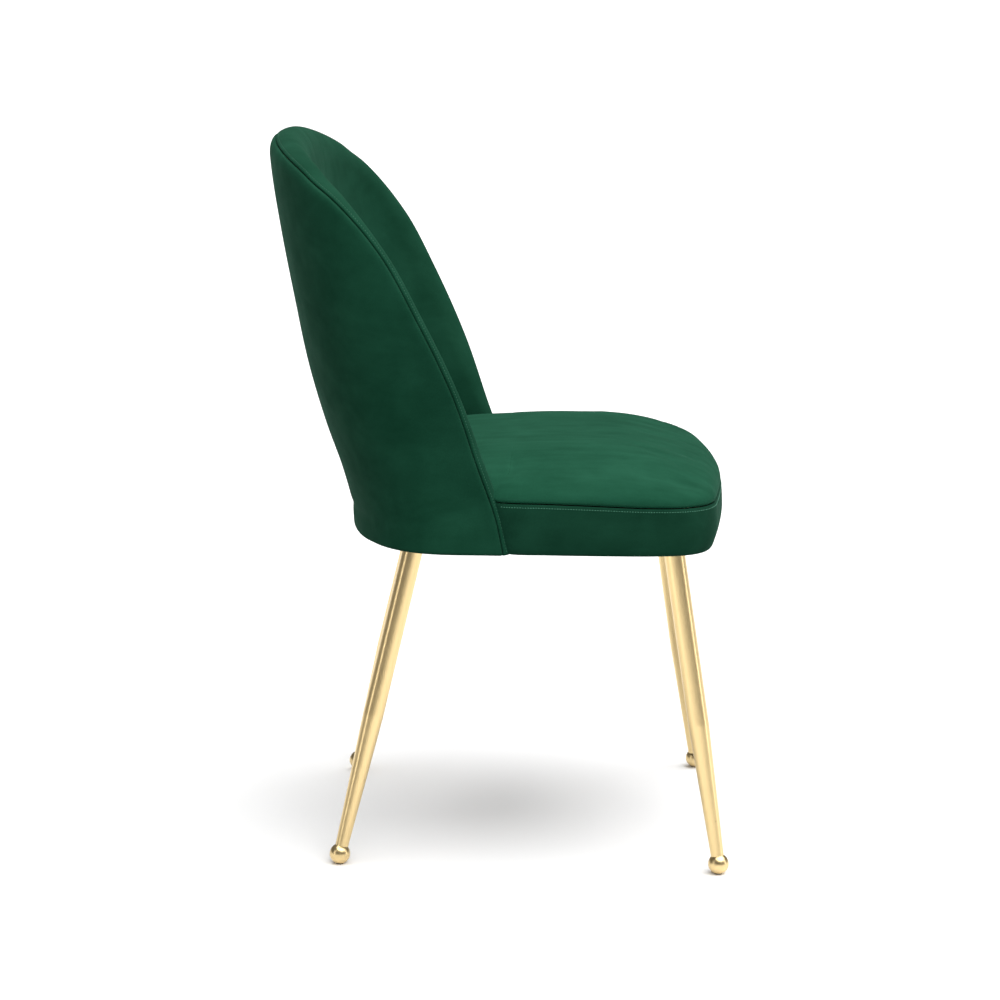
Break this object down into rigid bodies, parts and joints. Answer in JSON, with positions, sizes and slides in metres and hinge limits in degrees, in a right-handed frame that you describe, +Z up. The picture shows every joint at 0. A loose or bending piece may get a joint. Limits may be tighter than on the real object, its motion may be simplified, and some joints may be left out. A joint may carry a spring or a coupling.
{
  "type": "dining chair",
  "caption": "Upholstered velvet dining chair with a wraparound back, a crowned seat with topstitched edge, and splayed tapered metal legs on ball feet.",
  "frame": {"origin": "on the floor, below the middle of the chair's bounding box", "axes": "+Z up, -Y the way the chair faces, X across it with +X at the sitter's left"},
  "size_m": [0.5588, 0.5411, 0.84],
  "materials": {
    "velvet": "dark green short-pile velvet",
    "foam": "open-cell polyurethane foam, cut",
    "plywood": "raw birch plywood",
    "dust_cloth": "black non-woven cloth",
    "brass_leg": "satin brushed, brass plated steel",
    "black_steel": "black powder coat",
    "zinc_steel": "bright zinc plated",
    "nylon": "natural nylon"
  },
  "bodies": {
    "root": {"back_outer_cover": "velvet", "back_inner_cover": "velvet", "seat_top_cover": "velvet", "seat_boxing": "velvet", "back_outer_foam": "foam", "back_inner_foam": "foam", "seat_foam": "foam", "back_shell": "plywood", "seat_board": "plywood", "dust_cover": "dust_cloth", "leg_bolts": "zinc_steel", "tee_nuts": "zinc_steel", "shell_screws": "zinc_steel", "front_left_leg_tube": "brass_leg", "front_left_ball_foot": "brass_leg", "front_left_glide": "nylon", "front_left_leg_plate": "black_steel", "front_right_leg_tube": "brass_leg", "front_right_ball_foot": "brass_leg", "front_right_glide": "nylon", "front_right_leg_plate": "black_steel", "rear_left_leg_tube": "brass_leg", "rear_left_ball_foot": "brass_leg", "rear_left_glide": "nylon", "rear_left_leg_plate": "black_steel", "rear_right_leg_tube": "brass_leg", "rear_right_ball_foot": "brass_leg", "rear_right_glide": "nylon", "rear_right_leg_plate": "black_steel"}
  },
  "joints": []
}
